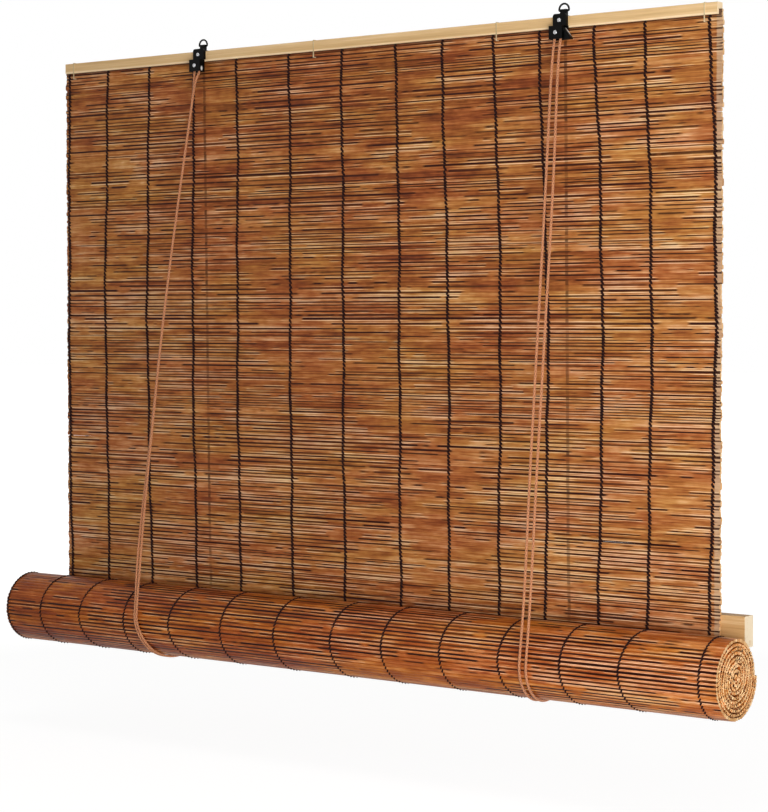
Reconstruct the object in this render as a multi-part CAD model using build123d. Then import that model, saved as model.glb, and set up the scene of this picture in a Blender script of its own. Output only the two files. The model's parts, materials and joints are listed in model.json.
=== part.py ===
from build123d import *
import os
from math import acos, atan2, ceil, cos, hypot, pi, sin, tau

# Reed roll-up blind, part rolled up and hanging from two rings.
# X runs along the head rail, -Y faces the room and Z is up.
# The origin is the middle of the head rail's top face. Lengths are millimetres.

# Head rail
rail_thickness = 11.0
rail_height = 13.0
rail_edge_radius = 0.8
slot_depth = 6.0

# Reed mat
mat_width = 1000.0
reed_thickness = 4.0
reed_pitch = 4.4
web_thickness = 1.6
crest_share = 0.4
valley_share = 0.25
seat_clearance = 0.3
gap_count = 92
gap_bay_step = 5
gap_length_share = 0.7
gap_height_share = 0.7

# Binding strings, their places across the hanging mat and along the roll
string_width = 1.6
string_thickness = 0.7
string_shares = (-0.490, -0.428, -0.347, -0.267, -0.194, -0.107, -0.022,
                 0.064, 0.139, 0.217, 0.277, 0.351, 0.416, 0.492)
ring_shares = (0.003, 0.060, 0.127, 0.200, 0.273, 0.353, 0.433,
               0.515, 0.587, 0.665, 0.741, 0.817, 0.888, 0.980)
string_stop = 8.0

# Roll
hang_drop = 727.5
roll_turns = 8
roll_core_radius = 5.7
turn_gap = 0.6
round_share = 0.72
roll_left_overhang = 34.0
roll_right_overhang = 49.0
turn_segments = 24
band_segments = 20
band_start_share = 0.02
band_end_share = 0.94

# Rear batten
batten_shift = 33.0
batten_height = 34.5
batten_thickness = 18.0
batten_rise = 62.0
batten_edge_radius = 1.0

# Rail ties, wire bands that bind the mat to the rail
tie_shares = (-0.484, -0.067, 0.208, 0.484)
tie_width = 1.2
tie_thickness = 0.7
tie_clearance = 0.1

# Cords
cord_diameter = 3.2
strand_spacing = 8.2
cord_clearance = 0.3
joint_gap = 0.3
foot_gap = 0.8
left_front_x = -293.5
left_front_spacing = 7.0
right_front_x = 304.0
right_front_spacing = 9.0
knot_radius = 3.3
knot_height = 5.0
knot_edge_radius = 1.2
wrap_corners = 4
wrap_bend_share = 0.9
slot_bend_radius = 40.0
slot_lead = 4.0

# Saddles, the folded steel clips on the rail
left_bracket_x = -257.0
right_bracket_x = 296.0
saddle_width = 14.0
saddle_thickness = 1.5
plate_shift = 2.0
plate_width = 18.0
plate_depth = 4.3
plate_rise = 2.8
plate_corner_radius = 3.0
foot_width = 18.0
foot_top_drop = 11.0
foot_bottom_drop = 27.0
ledge_drop = 15.0
ledge_depth = 10.0
cord_hole_clearance = 0.2
lug_width = 8.0
lug_depth = 4.4
lug_reach = 8.0
lug_shoulder_height = 4.6
lug_bore_height = 7.0
lug_wall = 0.6
lug_edge_radius = 0.4
screw_radius = 1.2
screw_length = 12.0
screw_head_radius = 2.4
screw_head_height = 1.3
screw_drop = 4.6
screw_slot_width = 0.7
screw_slot_depth = 0.7
head_edge_radius = 0.6

# Pulleys and their covers
pulley_drop = 18.6
pulley_width = 5.2
pulley_side_clearance = 0.8
pulley_flange_radius = 5.6
pulley_flange = 0.7
rivet_radius = 1.2
rivet_head_radius = 2.4
rivet_head_height = 1.0
running_clearance = 0.06
cover_wall = 1.2
cover_bottom_drop = 26.0

# Hanging rings
ring_wire_radius = 1.1
ring_arch_radius = 6.6
ring_side_height = 1.4
ring_corner_radius = 1.3

# Cord lock lever on the right saddle
lever_thickness = 5.0
lever_offset = 8.6
lever_pivot_drop = 15.6
lever_boss_radius = 2.3
lever_tip_radius = 1.0
lever_inner_offset = 8.2
lever_outer_offset = 18.0
lever_reach = 11.4
ear_margin = 1.0

# Places worked out from the sizes above
overrun = reed_pitch
rail_length = mat_width
batten_length = mat_width
rail_half = rail_thickness / 2
saddle_half = rail_half + saddle_thickness
plate_front = -rail_half - plate_depth
cord_radius = cord_diameter / 2
half_spacing = strand_spacing / 2
sheet_top = slot_depth - rail_height - seat_clearance
axis_z = -hang_drop
batten_top_drop = hang_drop - batten_rise
sheet_bottom = axis_z + joint_gap
reed_count = round((sheet_top - sheet_bottom) / reed_pitch)
sheet_pitch = (sheet_top - sheet_bottom) / reed_count
valley_height = valley_share * sheet_pitch
turn_pitch = reed_thickness + turn_gap
roll_radius = roll_core_radius + roll_turns * turn_pitch
axis_y = -roll_radius
roll_left = -mat_width / 2 - roll_left_overhang
roll_width = mat_width + roll_left_overhang + roll_right_overhang
roll_crest_radius = roll_radius + reed_thickness / 2
band_rise = roll_crest_radius / cos(pi / band_segments) - roll_crest_radius
wrap_radius = roll_crest_radius + band_rise + string_thickness + cord_clearance + cord_radius
mat_back = reed_thickness / 2 + string_thickness
batten_front = mat_back + seat_clearance
back_cord_y = batten_front + batten_thickness / 2
pulley_y = -saddle_half - pulley_side_clearance - pulley_width / 2
cover_front = -saddle_half - 2 * pulley_side_clearance - pulley_width - cover_wall
strand_top = -cover_bottom_drop - saddle_thickness
first_open_row = ceil((sheet_top + rail_height) / sheet_pitch) + 1


def valley_z(row):
    """Height of the middle of a valley between two reeds."""
    return sheet_top - row * sheet_pitch


def block(x_span, y_span, z_span):
    """A box from its low and high sides."""
    sizes = [high - low for low, high in (x_span, y_span, z_span)]
    middle = [(high + low) / 2 for low, high in (x_span, y_span, z_span)]
    return Pos(*middle) * Box(*sizes)


def along_x(outline, start, length):
    """A solid with one outline in Y and Z, drawn out along X."""
    face = make_face(Plane.YZ * Polyline(*outline, close=True))
    return Pos(start, 0, 0) * extrude(face, length, dir=(1, 0, 0))


def rod_y(x, y_start, y_end, z, radius):
    """A round rod along Y."""
    turn = Rot(90, 0, 0) * Cylinder(radius, y_end - y_start)
    return Pos(x, (y_start + y_end) / 2, z) * turn


def cord_along(path):
    """A round cord along a path."""
    section = Plane(path @ 0, z_dir=path % 0) * Circle(cord_radius)
    return sweep(section, path=path)


def make_head_rail():
    body = block((-rail_length / 2, rail_length / 2), (-rail_half, rail_half), (-rail_height, 0))
    body = fillet(body.edges().filter_by(Axis.X), rail_edge_radius)
    slot_half = reed_thickness / 2 + seat_clearance
    slot_span = (-rail_length / 2 - overrun, rail_length / 2 + overrun)
    body -= block(slot_span, (-slot_half, slot_half), (-rail_height - overrun, slot_depth - rail_height))
    for x in (left_bracket_x, right_bracket_x):
        body -= rod_y(x + plate_shift, plate_front, plate_front + screw_length, -screw_drop, screw_radius)
    return body


def make_reed_sheet():
    half = reed_thickness / 2
    web = web_thickness / 2
    crest = crest_share * sheet_pitch
    ridge = ((web, valley_height / 2), (half, (sheet_pitch - crest) / 2),
             (half, (sheet_pitch + crest) / 2), (web, sheet_pitch - valley_height / 2))
    side = [(depth, valley_z(row) - drop) for row in range(reed_count) for depth, drop in ridge]
    outline = [(-depth, z) for depth, z in side] + side[::-1]
    wall = along_x(outline, -mat_width / 2, mat_width)
    return wall - make_gaps() - make_tie_slots()


def make_gaps():
    """See-through gaps between reeds, one in a row, staggered from bay to bay."""
    bays = list(zip(string_shares[:-1], string_shares[1:]))
    rows = reed_count - first_open_row - 2
    gaps = []
    for number in range(gap_count):
        row = first_open_row + 1 + number * rows // gap_count
        left, right = bays[number * gap_bay_step % len(bays)]
        middle = (left + right) / 2 * mat_width
        half_length = (right - left) / 2 * gap_length_share * mat_width
        half_height = valley_height / 2 * gap_height_share
        z = valley_z(row)
        gaps.append(block((middle - half_length, middle + half_length), (-reed_thickness, reed_thickness),
                          (z - half_height, z + half_height)))
    return gaps


def make_tie_slots():
    z = valley_z(first_open_row)
    half_width = tie_width / 2 + tie_clearance
    half_height = tie_thickness / 2 + tie_clearance
    places = [share * rail_length for share in tie_shares]
    return [block((x - half_width, x + half_width), (-reed_thickness, reed_thickness),
                  (z - half_height, z + half_height)) for x in places]


def make_sheet_strings():
    strips = []
    for x in [share * mat_width for share in string_shares]:
        for side in (-1, 1):
            y_span = sorted((side * reed_thickness / 2, side * mat_back))
            z_span = (sheet_bottom + string_stop, -rail_height - seat_clearance)
            strips.append(block((x - string_width / 2, x + string_width / 2), y_span, z_span))
    return strips


def turn_point(angle, offset):
    """A point on the mat's winding, counted from where the hanging mat meets the roll.

    Each turn is round for most of its way, and then drops under the start of the turn before it.
    """
    turns, part_share = divmod(angle / tau, 1)
    way_share = max(0, part_share - round_share) / (1 - round_share)
    drop_share = (1 - cos(pi * way_share)) / 2
    radius = roll_radius - turn_pitch * (turns + drop_share) + offset
    return (axis_y + radius * cos(angle), axis_z - radius * sin(angle))


def make_reed_roll():
    half = reed_thickness / 2
    outer_reeds = round(tau * (roll_radius - turn_pitch / 2) / reed_pitch)
    outline = []
    for reed in range(outer_reeds):
        outline.append(turn_point(tau * reed / outer_reeds, web_thickness / 2))
        for place_share in ((1 - crest_share) / 2, (1 + crest_share) / 2):
            outline.append(turn_point(tau * (reed + place_share) / outer_reeds, half))
    steps = roll_turns * turn_segments
    angles = [tau * step / turn_segments for step in range(steps + 1)]
    outline += [turn_point(angle, half) for angle in angles[turn_segments:]]
    outline += [turn_point(angle, -half) for angle in angles[::-1]]
    return along_x(outline, roll_left, roll_width)


def make_roll_strings():
    inner = reed_thickness / 2 + band_rise
    shares = [band_start_share + (band_end_share - band_start_share) * step / band_segments
              for step in range(band_segments + 1)]
    outline = [turn_point(tau * share, inner + string_thickness) for share in shares]
    outline += [turn_point(tau * share, inner) for share in shares[::-1]]
    places = [roll_left + share * roll_width for share in ring_shares]
    return [along_x(outline, x - string_width / 2, string_width) for x in places]


def make_rear_batten():
    left = batten_shift - batten_length / 2
    body = block((left, left + batten_length), (batten_front, batten_front + batten_thickness),
                 (-batten_top_drop - batten_height, -batten_top_drop))
    body = fillet(body.edges().filter_by(Axis.X), batten_edge_radius)
    hole_half = half_spacing + cord_radius + cord_clearance
    hole_depth = cord_radius + cord_clearance
    for x in (left_bracket_x, right_bracket_x):
        body -= block((x - hole_half, x + hole_half), (back_cord_y - hole_depth, back_cord_y + hole_depth),
                      (-batten_top_drop - batten_height - overrun, overrun - batten_top_drop))
    return body


def make_rail_ties():
    low = valley_z(first_open_row) - tie_thickness / 2
    outer_half = rail_half + tie_thickness
    ties = []
    for x in [share * rail_length for share in tie_shares]:
        x_span = (x - tie_width / 2, x + tie_width / 2)
        band = block(x_span, (-outer_half, outer_half), (low, tie_thickness))
        ties.append(band - block(x_span, (-rail_half, rail_half), (low + tie_thickness, 0)))
    return ties


def make_lug(middle):
    """The neck that carries a ring, with a sloping shoulder on its left."""
    half = lug_width / 2
    seat = saddle_thickness / 2
    lug_top = lug_bore_height + ring_wire_radius + running_clearance + lug_wall
    outline = ((-lug_reach, seat), (-lug_reach, saddle_thickness), (-half, lug_shoulder_height),
               (-half, lug_top), (half, lug_top), (half, seat))
    face = make_face(Plane.XZ * Polyline(*outline, close=True))
    lug = Pos(middle, 0, 0) * extrude(face, lug_depth / 2, both=True)
    return fillet(lug.edges().filter_by(Axis.X).group_by(Axis.Z)[-1], lug_edge_radius)


def make_saddle(x, ear):
    """A clip over the rail: front plate with a wide foot, rear leg with a ledge, and a ring lug."""
    outline = ((-saddle_half, -foot_bottom_drop), (-saddle_half, saddle_thickness),
               (saddle_half, saddle_thickness), (saddle_half, -ledge_drop),
               (saddle_half + ledge_depth, -ledge_drop),
               (saddle_half + ledge_depth, -ledge_drop - saddle_thickness),
               (rail_half, -ledge_drop - saddle_thickness), (rail_half, 0),
               (-rail_half, 0), (-rail_half, -foot_bottom_drop))
    body = along_x(outline, x - saddle_width / 2, saddle_width)
    leg_span = (-saddle_half, -rail_half)
    body += block((x - foot_width / 2, x + foot_width / 2 + ear), leg_span, (-foot_bottom_drop, -foot_top_drop))
    middle = x + plate_shift
    plate = block((middle - plate_width / 2, middle + plate_width / 2), (plate_front, -rail_half),
                  (-foot_top_drop, plate_rise))
    body += fillet(plate.edges().filter_by(Axis.Y).group_by(Axis.Z)[-1], plate_corner_radius)
    body += make_lug(middle)
    bore_radius = ring_wire_radius + running_clearance
    body -= Pos(middle, 0, lug_bore_height) * Rot(0, 90, 0) * Cylinder(bore_radius, saddle_width)
    body -= rod_y(middle, plate_front - overrun, 0, -screw_drop, screw_radius)
    body -= rod_y(x, -saddle_half - overrun, 0, -pulley_drop, rivet_radius)
    for side in (-1, 1):
        hole = Cylinder(cord_radius + cord_hole_clearance, ledge_drop)
        body -= Pos(x + side * half_spacing, back_cord_y, -ledge_drop) * hole
    if ear:
        body -= rod_y(x + lever_offset, -saddle_half - overrun, 0, -lever_pivot_drop, rivet_radius)
    return body


def make_pulley_cover(x, open_side):
    """A shallow cover in front of the pulley, open below and behind, and towards the lock lever."""
    half = foot_width / 2
    body = block((x - half, x + half), (cover_front, -saddle_half), (-cover_bottom_drop, -foot_top_drop))
    inner_right = x + half - cover_wall
    if open_side:
        inner_right = x + half + overrun
    body -= block((x - half + cover_wall, inner_right), (cover_front + cover_wall, overrun - saddle_half),
                  (-cover_bottom_drop - overrun, -foot_top_drop - cover_wall))
    body -= rod_y(x, cover_front - overrun, -saddle_half, -pulley_drop, rivet_radius)
    return body


def make_pulley(x):
    wheel = Cylinder(pulley_flange_radius, pulley_width)
    groove_radius = half_spacing - cord_radius - cord_clearance
    groove_width = pulley_width - 2 * pulley_flange
    wheel -= Cylinder(pulley_flange_radius + overrun, groove_width) - Cylinder(groove_radius, groove_width)
    wheel -= Cylinder(rivet_radius + running_clearance, pulley_width + overrun)
    return Pos(x, pulley_y, -pulley_drop) * Rot(90, 0, 0) * wheel


def make_rivet(x, z, front, back):
    """A rivet along Y with a head in front and a head behind."""
    body = rod_y(x, front, back, z, rivet_radius)
    front_head = rod_y(x, front - rivet_head_height, front, z, rivet_head_radius)
    front_head = fillet(front_head.edges().group_by(Axis.Y)[0], head_edge_radius)
    return body + front_head + rod_y(x, back, back + rivet_head_height, z, rivet_head_radius)


def make_saddle_screws():
    screws = []
    head_front = plate_front - screw_head_height
    slot_half = screw_slot_width / 2
    for x in (left_bracket_x + plate_shift, right_bracket_x + plate_shift):
        head = rod_y(x, head_front, plate_front, -screw_drop, screw_head_radius)
        head = fillet(head.edges().group_by(Axis.Y)[0], head_edge_radius)
        head -= block((x - screw_head_radius, x + screw_head_radius),
                      (head_front - overrun, head_front + screw_slot_depth),
                      (-screw_drop - slot_half, slot_half - screw_drop))
        screws.append(head + rod_y(x, plate_front, plate_front + screw_length, -screw_drop, screw_radius))
    return screws


def make_ring(x):
    """A wire bent to an arch, whose lower bar turns in the saddle's lug."""
    left_end, right_end = (-ring_arch_radius, ring_side_height), (ring_arch_radius, ring_side_height)
    corners = (left_end, (-ring_arch_radius, 0), (ring_arch_radius, 0), right_end)
    bar = FilletPolyline(*corners, radius=ring_corner_radius)
    arch = ThreePointArc(right_end, (0, ring_side_height + ring_arch_radius), left_end)
    path = Plane.XZ * Wire(bar.edges() + arch.edges())
    section = Plane(path @ 0, z_dir=path % 0) * Circle(ring_wire_radius)
    return Pos(x + plate_shift, 0, lug_bore_height) * sweep(section, path=path)


def make_lock_lever():
    """A tongue that hangs from its pivot and swings its inner edge towards the cord."""
    tip_z = -lever_pivot_drop - lever_reach + lever_tip_radius
    circles = ((lever_offset, -lever_pivot_drop, lever_boss_radius),
               (lever_inner_offset, tip_z, lever_tip_radius),
               (lever_outer_offset, tip_z, lever_tip_radius))
    outline = Sketch() + [Pos(x, z) * Circle(radius) for x, z, radius in circles]
    plate = extrude(make_hull(outline.edges()), lever_thickness)
    bore = Cylinder(rivet_radius + running_clearance, 2 * (lever_thickness + overrun))
    plate -= Pos(lever_offset, -lever_pivot_drop, 0) * bore
    placed = Rot(90, 0, 0) * plate
    return Pos(right_bracket_x, -saddle_half - cord_clearance, 0) * placed


def make_cord_bend(x):
    """The cord over a pulley, with its two legs down to the cover's mouth."""
    low_left = (x - half_spacing, pulley_y, strand_top)
    left = (x - half_spacing, pulley_y, -pulley_drop)
    top = (x, pulley_y, half_spacing - pulley_drop)
    right = (x + half_spacing, pulley_y, -pulley_drop)
    low_right = (x + half_spacing, pulley_y, strand_top)
    return cord_along(Wire([Line(low_left, left), ThreePointArc(left, top, right), Line(right, low_right)]))


def tangent_angle(y, z, side):
    """Angle round the roll's axis, from +Y upwards, where a line from a point touches the cord's circle."""
    across = y - axis_y
    up = z - axis_z
    return atan2(up, across) + side * acos(wrap_radius / hypot(across, up))


def wrap_point(x, angle, radius):
    return (x, axis_y + radius * cos(angle), axis_z + radius * sin(angle))


slot_mouth = -batten_top_drop - batten_height - slot_lead
front_angle = tangent_angle(pulley_y, strand_top, 1)
back_angle = tangent_angle(back_cord_y, slot_mouth, -1) + tau


def strand_ends(bracket_x, front_x, front_spacing):
    """Each strand's places along X at the pulley or batten, and on the front of the roll."""
    return [(bracket_x + side * half_spacing, front_x + side * front_spacing / 2) for side in (-1, 1)]


def make_front_cords(ends):
    strands = []
    for top_x, front_x in ends:
        top = Vector(top_x, pulley_y, strand_top)
        foot = Vector(*wrap_point(front_x, front_angle, wrap_radius))
        run = (foot - top).normalized()
        strands.append(cord_along(Line(top + run * joint_gap, foot - run * foot_gap)))
    return strands


def make_cord_wraps(ends):
    """Both strands under the roll, from its front to the slot through the batten."""
    turn = (back_angle - front_angle) / wrap_corners
    corner_radius = wrap_radius / cos(turn / 2)
    bends = [wrap_radius * wrap_bend_share] * wrap_corners + [slot_bend_radius]
    print("cord bend radii", [round(bend, 1) for bend in bends])
    wraps = []
    for back_x, front_x in ends:
        points = [wrap_point(front_x, front_angle, wrap_radius)]
        for corner in range(wrap_corners):
            share = (corner + 1 / 2) / wrap_corners
            x = front_x + (back_x - front_x) * share
            points.append(wrap_point(x, front_angle + (back_angle - front_angle) * share, corner_radius))
        points.append((back_x, back_cord_y, slot_mouth))
        points.append((back_x, back_cord_y, -batten_top_drop))
        wrap = cord_along(FilletPolyline(*points, radius=bends))
        wraps.append(wrap)
    return wraps


def make_back_cords(ends):
    return [cord_along(Line((x, back_cord_y, -ledge_drop), (x, back_cord_y, joint_gap - batten_top_drop)))
            for x, front_x in ends]


def make_cord_knots():
    knots = []
    for x in (left_bracket_x, right_bracket_x):
        for side in (-1, 1):
            knot = Cylinder(knot_radius, knot_height)
            knot = fillet(knot.edges().group_by(Axis.Z)[-1], knot_edge_radius)
            knots.append(Pos(x + side * half_spacing, back_cord_y, knot_height / 2 - ledge_drop) * knot)
    return knots


def save(name, solids):
    if not isinstance(solids, list):
        solids = [solids]
    export_step(Compound(solids), os.path.join("parts", name + ".step"))


os.makedirs("parts", exist_ok=True)
left_ends = strand_ends(left_bracket_x, left_front_x, left_front_spacing)
right_ends = strand_ends(right_bracket_x, right_front_x, right_front_spacing)
ear_reach = lever_offset + lever_boss_radius + ear_margin - foot_width / 2
lever_front = -saddle_half - 2 * cord_clearance - lever_thickness

save("head_rail", make_head_rail())
save("reed_sheet", make_reed_sheet())
save("sheet_strings", make_sheet_strings())
save("reed_roll", make_reed_roll())
save("roll_strings", make_roll_strings())
save("rear_batten", make_rear_batten())
save("rail_ties", make_rail_ties())
save("left_saddle", make_saddle(left_bracket_x, 0))
save("right_saddle", make_saddle(right_bracket_x, ear_reach))
save("left_pulley_cover", make_pulley_cover(left_bracket_x, False))
save("right_pulley_cover", make_pulley_cover(right_bracket_x, True))
save("left_pulley", make_pulley(left_bracket_x))
save("right_pulley", make_pulley(right_bracket_x))
save("pulley_rivets", [make_rivet(x, -pulley_drop, cover_front, -rail_half)
                       for x in (left_bracket_x, right_bracket_x)])
save("saddle_screws", make_saddle_screws())
save("left_ring", make_ring(left_bracket_x))
save("right_ring", make_ring(right_bracket_x))
save("lock_lever", make_lock_lever())
save("lock_rivet", make_rivet(right_bracket_x + lever_offset, -lever_pivot_drop, lever_front, -rail_half))
save("left_cord_bend", make_cord_bend(left_bracket_x))
save("right_cord_bend", make_cord_bend(right_bracket_x))
save("left_front_cords", make_front_cords(left_ends))
save("right_front_cords", make_front_cords(right_ends))
save("left_cord_wraps", make_cord_wraps(left_ends))
save("right_cord_wraps", make_cord_wraps(right_ends))
save("left_back_cords", make_back_cords(left_ends))
save("right_back_cords", make_back_cords(right_ends))
save("cord_knots", make_cord_knots())
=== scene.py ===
import json
from math import pi, radians, tau

import bmesh
import bpy
import numpy as np
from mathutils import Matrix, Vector


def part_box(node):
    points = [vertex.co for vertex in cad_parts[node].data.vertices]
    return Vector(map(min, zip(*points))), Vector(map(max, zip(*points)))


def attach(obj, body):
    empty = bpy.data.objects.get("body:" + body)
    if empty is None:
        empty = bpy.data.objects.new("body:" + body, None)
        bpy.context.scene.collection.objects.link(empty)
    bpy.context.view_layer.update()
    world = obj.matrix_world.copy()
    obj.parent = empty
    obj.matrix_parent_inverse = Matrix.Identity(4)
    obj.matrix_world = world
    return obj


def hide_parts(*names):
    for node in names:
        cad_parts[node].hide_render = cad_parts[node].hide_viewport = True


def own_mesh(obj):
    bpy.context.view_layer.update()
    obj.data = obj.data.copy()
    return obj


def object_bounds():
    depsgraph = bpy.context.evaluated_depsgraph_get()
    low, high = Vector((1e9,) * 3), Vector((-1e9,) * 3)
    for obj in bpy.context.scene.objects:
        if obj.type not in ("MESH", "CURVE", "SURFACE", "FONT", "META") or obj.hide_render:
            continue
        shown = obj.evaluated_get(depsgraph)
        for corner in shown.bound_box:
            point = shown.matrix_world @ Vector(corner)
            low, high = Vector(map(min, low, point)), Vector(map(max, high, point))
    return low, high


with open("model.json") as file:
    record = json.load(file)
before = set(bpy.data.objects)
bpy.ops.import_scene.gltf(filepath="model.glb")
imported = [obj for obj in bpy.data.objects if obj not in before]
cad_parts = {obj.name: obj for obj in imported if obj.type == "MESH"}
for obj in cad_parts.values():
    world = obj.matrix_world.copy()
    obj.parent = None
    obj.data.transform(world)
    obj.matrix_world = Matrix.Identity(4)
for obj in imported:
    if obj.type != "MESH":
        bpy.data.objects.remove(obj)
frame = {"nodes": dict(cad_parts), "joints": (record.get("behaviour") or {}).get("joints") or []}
cad_low, cad_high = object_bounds()

# Head rail. A planed pine strip that the mat hangs from, sawn to length and left bare.
# The grain runs along it in fine uneven lines, a little greyer on the faces than in the new wood.
cad = frame["nodes"]
pine_tones = ((0.2, "C69C65"), (0.45, "DCB57E"), (0.62, "E6C28F"), (0.85, "FBDEB2"))
pine_grain = (2.2, 95.0, 95.0)
pine_pores = (14.0, 900.0, 900.0)
# A painted highlight along the lower edge of each piece of pine, where the lamp catches it.
pine_highlight_height, pine_highlight_reach = 0.0016, 1.6
sawn_depth = 0.0002
grain_detail = 4.0
grain_weight, pore_weight, pine_highlight_weight, sawn_weight = 1.35, 0.5, 0.4, 0.5
pine_shift = -0.42
pine_roughness = 0.6
pine_relief = (0.25, 0.0003)


def colour(code):
    """A hex colour as scene-linear red, green and blue with full alpha."""
    parts = [int(code[place:place + 2], 16) / 255 for place in (0, 2, 4)]
    linear = [part / 12.92 if part <= 0.04045 else ((part + 0.055) / 1.055) ** 2.4 for part in parts]
    return linear + [1]


def new_finish(name, roughness):
    """A new material with one roughness all over, and its shader."""
    material = bpy.data.materials.new(name)
    material.use_nodes = True
    shader = material.node_tree.nodes["Principled BSDF"]
    shader.inputs["Roughness"].default_value = roughness
    return material, shader


def join(material, source, socket):
    material.node_tree.links.new(source, socket)


def put(material, kind, inputs, **settings):
    """Adds a node, and links or sets each input that is named."""
    made = material.node_tree.nodes.new(kind)
    for name, value in settings.items():
        setattr(made, name, value)
    for key, value in inputs.items():
        if isinstance(value, bpy.types.NodeSocket):
            join(material, value, made.inputs[key])
        else:
            made.inputs[key].default_value = value
    return made


def calc(material, operation, *values):
    return put(material, "ShaderNodeMath", dict(enumerate(values)), operation=operation).outputs[0]


def weigh(material, parts, shift):
    """The sum of several sockets, each times its own weight, plus a shift."""
    total = shift
    for socket, weight in parts:
        total = calc(material, "MULTIPLY_ADD", socket, weight, total)
    return total


def ramp(material, value, stops):
    """Colours that follow a value, as pairs of place and hex colour."""
    made = put(material, "ShaderNodeValToRGB", {"Fac": value})
    points = made.color_ramp.elements
    for place, code in stops[1:-1]:
        points.new(place).color = colour(code)
    points[0].position, points[-1].position = stops[0][0], stops[-1][0]
    points[0].color, points[-1].color = colour(stops[0][1]), colour(stops[-1][1])
    return made.outputs["Color"]


def noise(material, place, stretch, detail=3.0):
    """Cloudy noise over a place that is stretched along each axis."""
    stretched = put(material, "ShaderNodeVectorMath", {0: place, 1: stretch}, operation="MULTIPLY")
    inputs = {"Vector": stretched.outputs[0], "Scale": 1.0, "Detail": detail, "Roughness": 0.6}
    return put(material, "ShaderNodeTexNoise", inputs).outputs[0]


def object_place(material):
    return put(material, "ShaderNodeTexCoord", {}).outputs["Object"]


def raise_surface(material, shader, height, strength, depth):
    bump = put(material, "ShaderNodeBump", {"Height": height, "Strength": strength, "Distance": depth})
    join(material, bump.outputs[0], shader.inputs["Normal"])


def limited(material, value, scale, shift):
    """A value times a scale plus a shift, kept between 0 and 1."""
    made = put(material, "ShaderNodeMath", {0: value, 1: scale, 2: shift}, operation="MULTIPLY_ADD")
    made.use_clamp = True
    return made.outputs[0]


def split(material, vector):
    """The three parts of a vector."""
    return put(material, "ShaderNodeSeparateXYZ", {0: vector}).outputs


def pine_finish(name, tones, bottom, end):
    """Bare planed pine with its grain along X, with a painted highlight along its lower edge, and paler on
    its sawn right end.
    """
    material, shader = new_finish(name, pine_roughness)
    place = object_place(material)
    grain = noise(material, place, pine_grain, grain_detail)
    pores = noise(material, place, pine_pores)
    across, _, height = split(material, place)
    # The pale band along the lower edge is a painted highlight.
    edge = limited(material, height, -1 / pine_highlight_height, bottom / pine_highlight_height + pine_highlight_reach)
    sawn = calc(material, "GREATER_THAN", across, end - sawn_depth)
    parts = ((grain, grain_weight), (pores, pore_weight), (edge, pine_highlight_weight), (sawn, sawn_weight))
    tone = weigh(material, parts, pine_shift)
    join(material, ramp(material, tone, tones), shader.inputs["Base Color"])
    raise_surface(material, shader, pores, *pine_relief)
    return material


def coat(node, material):
    """Gives a node of the frame its finish."""
    cad[node].data.materials.clear()
    cad[node].data.materials.append(material)


rail_low, rail_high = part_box("head_rail")
coat("head_rail", pine_finish("planed_pine", pine_tones, rail_low.z, rail_high.x))

# Hanging part of the mat. Whole reed stalks of uneven thickness, smoked brown, lie one below the other.
# Each is a little bent and tapered, thins towards its ends and is cut square, so that its hollow shows.
draw = np.random.default_rng(41)
mat_low, mat_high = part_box("reed_sheet")
reed_count = 163
stalk_sides = 7
stalk_cuts = 7
hollow_share = 0.14
hollow_sink_share = 0.996
reed_depth = 0.00205
reed_overlap = 1.4
flat_power = 0.7
uneven_share = 0.3
slit_share = 0.05
long_places = (0.0, 0.014, 0.14, 0.32, 0.5, 0.68, 0.86, 0.986, 1.0)
tip_share = 0.88
left_reach, right_reach = 0.0035, 0.0050
end_jitter = 0.0022
depth_jitter = 0.0003
uneven_limit = 1.9
sway_size = 0.0002
long_sway, short_sway, short_sway_share = 1.6, 3.4, 0.7
taper_share = 0.16
swell_share, swell_waves = 0.06, 2.7
smooth_angle = 60
set_back_heights, set_back_size = (0.065, 0.100), 0.001
ochre_tones = ((0.05, "5A2C12"), (0.3, "8C5022"), (0.5, "B27436"), (0.7, "CE9654"), (0.95, "F0CE9E"))
russet_tones = ((0.05, "4C200F"), (0.3, "803E1C"), (0.5, "A86030"), (0.7, "CA8A5A"), (0.95, "ECC29C"))
# The dark tone of the painted shade in the crevices, along the rear cords and under the rail.
painted_shade_tone = "2E0902"
bare_tone = "C8AC8C"
straw_tones = ((0.2, "A87440"), (0.5, "D8A66C"), (0.8, "EAC696"))
hollow_tones = ((0.2, "9C6C3A"), (0.8, "C4945A"))
# Painted shade: a dark line down the mat along each rear cord behind it, as its X at the rail and its slope.
rear_cord_shade_lines = ((-0.2526, -0.0137), (0.3008, -0.0102))
cord_shade_gain, cord_shade_shift, cord_shade_share = -800.0, 2.2, 0.75
cord_shade_skin_gain, cord_shade_skin_shift = 3.0, -0.9
run_stretch, run_detail = (9.0, 7.3, 1.0), 3.0
crowd_stretch, crowd_weight = (5.0, 17.0, 17.0), 0.5
# Painted shade in runs along the crevices between stalks, deeper in some places than others.
crevice_shade_gain, crevice_shade_shift = 30.0, -20.7
shade_depth_stretch, shade_depth_gain, shade_depth_shift, shade_depth_share = (6.0, 11.7, 1.0), 3.0, -0.7, 0.5
edge_gain, upper_edge_shift, lower_edge_shift = 7.0, -2.0, -3.3
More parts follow.
